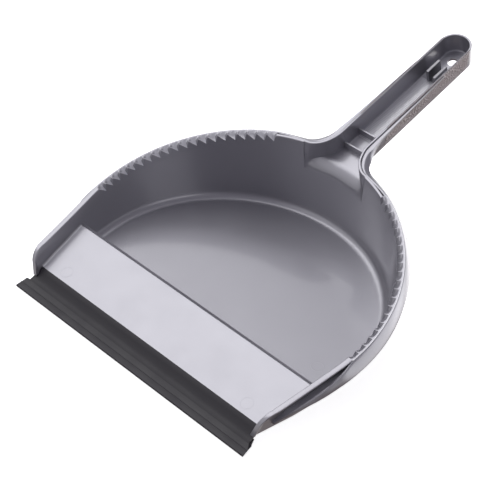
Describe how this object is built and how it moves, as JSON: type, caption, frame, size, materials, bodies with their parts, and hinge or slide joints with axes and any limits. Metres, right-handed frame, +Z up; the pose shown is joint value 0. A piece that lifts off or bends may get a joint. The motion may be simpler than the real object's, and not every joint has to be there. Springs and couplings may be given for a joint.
{
  "type": "dust pan",
  "caption": "Shallow round-backed dust pan with an entry ramp, a soft wiping lip, comb-toothed rims, a hanging outer skirt and a hollow channel handle with a brush clip and a hanging hole",
  "frame": {"origin": "middle of the footprint on the ground, under the centre of the overall box", "axes": "+Z up, +Y runs back along the handle, +X to the right seen from the front lip looking towards the handle"},
  "size_m": [0.2434, 0.3312, 0.1037],
  "materials": {
    "moulded_plastic": "silver-grey injection-moulded polypropylene, semi-gloss",
    "lip_rubber": "soft black rubber, satin"
  },
  "bodies": {
    "root": {"pan_tub": "moulded_plastic", "entry_ramp": "moulded_plastic", "comb_edge_left": "moulded_plastic", "comb_edge_right": "moulded_plastic", "skirt_left": "moulded_plastic", "skirt_right": "moulded_plastic", "handle_channel": "moulded_plastic", "cross_rib_front": "moulded_plastic", "cross_rib_rear": "moulded_plastic", "brush_clip_prong_tall": "moulded_plastic", "brush_clip_prong_short": "moulded_plastic", "rubber_lip": "lip_rubber"}
  },
  "joints": []
}
